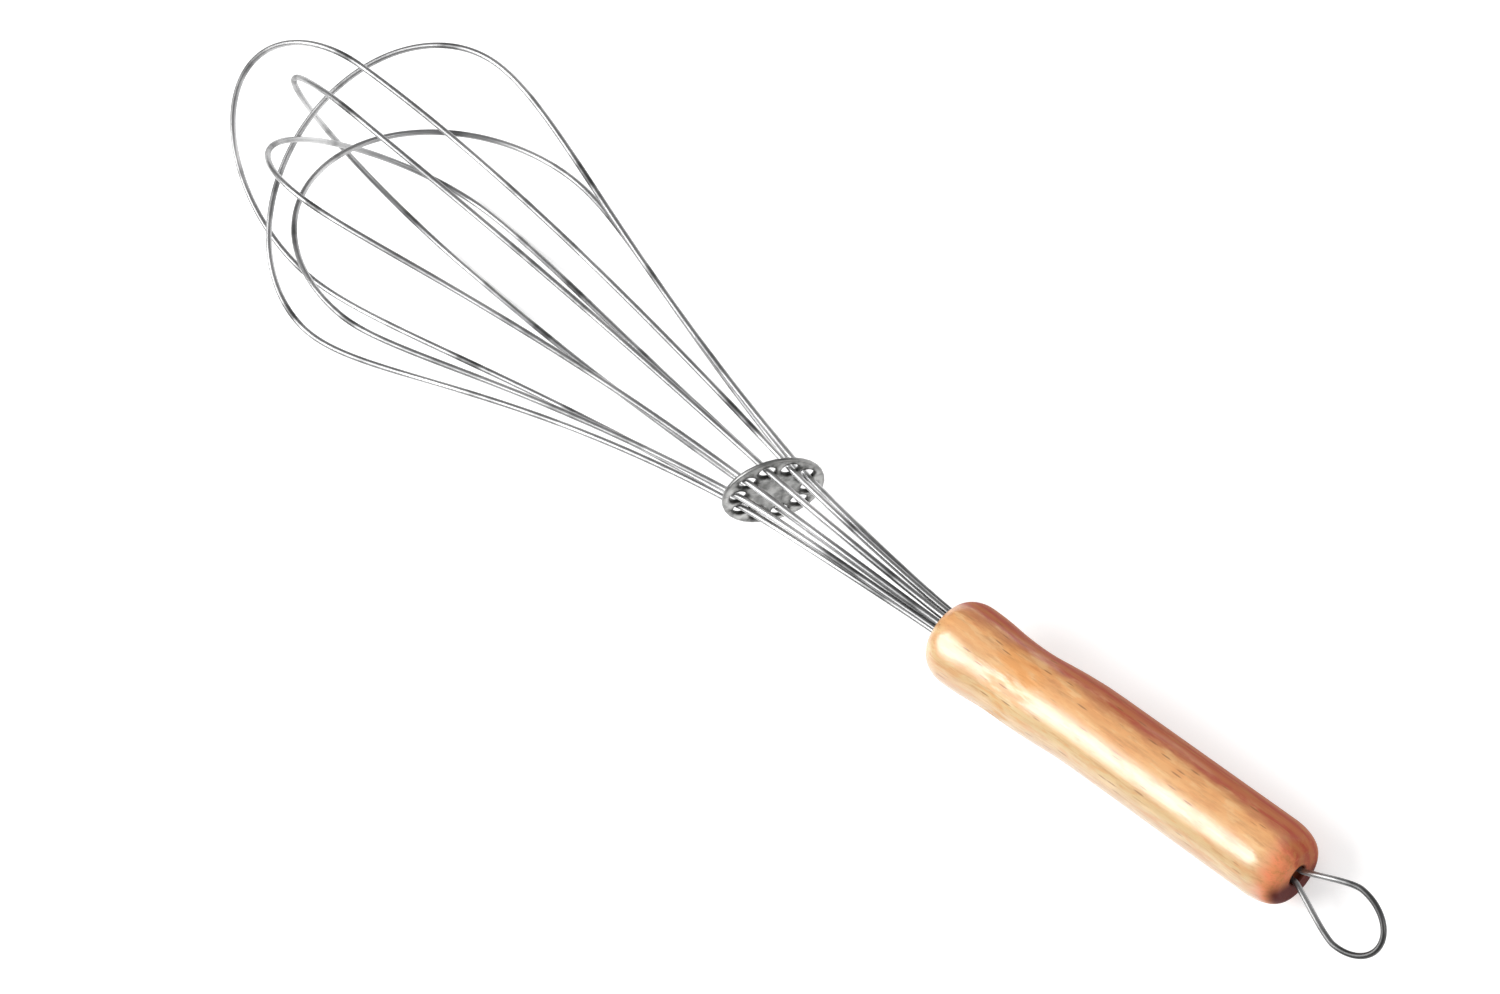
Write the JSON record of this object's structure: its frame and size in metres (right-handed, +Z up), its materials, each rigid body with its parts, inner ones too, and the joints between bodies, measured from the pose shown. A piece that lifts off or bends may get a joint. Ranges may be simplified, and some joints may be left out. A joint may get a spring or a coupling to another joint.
{
  "type": "balloon whisk",
  "caption": "Balloon whisk with nested wire loops threaded through a tilted perforated disc, a turned wooden handle and a wire hanging loop, for beating and aerating food.",
  "frame": {"origin": "on the table, under the middle of the whisk's bounding box", "axes": "+X along the whisk from the handle to the cage's tip, +Z up from the table it lies on, +Y across"},
  "size_m": [0.3984, 0.0884, 0.0781],
  "materials": {
    "beech": "clear gloss lacquer over turned beech",
    "peg_wood": "bare wood",
    "wire_steel": "bright drawn wire",
    "disc_steel": "satin pressed sheet"
  },
  "bodies": {
    "root": {"handle": "beech", "core_peg": "peg_wood", "spreader_disc": "disc_steel", "wire_loop_1": "wire_steel", "wire_loop_2": "wire_steel", "wire_loop_3": "wire_steel", "wire_loop_4": "wire_steel", "wire_loop_5": "wire_steel", "hanging_loop": "wire_steel"}
  },
  "joints": []
}
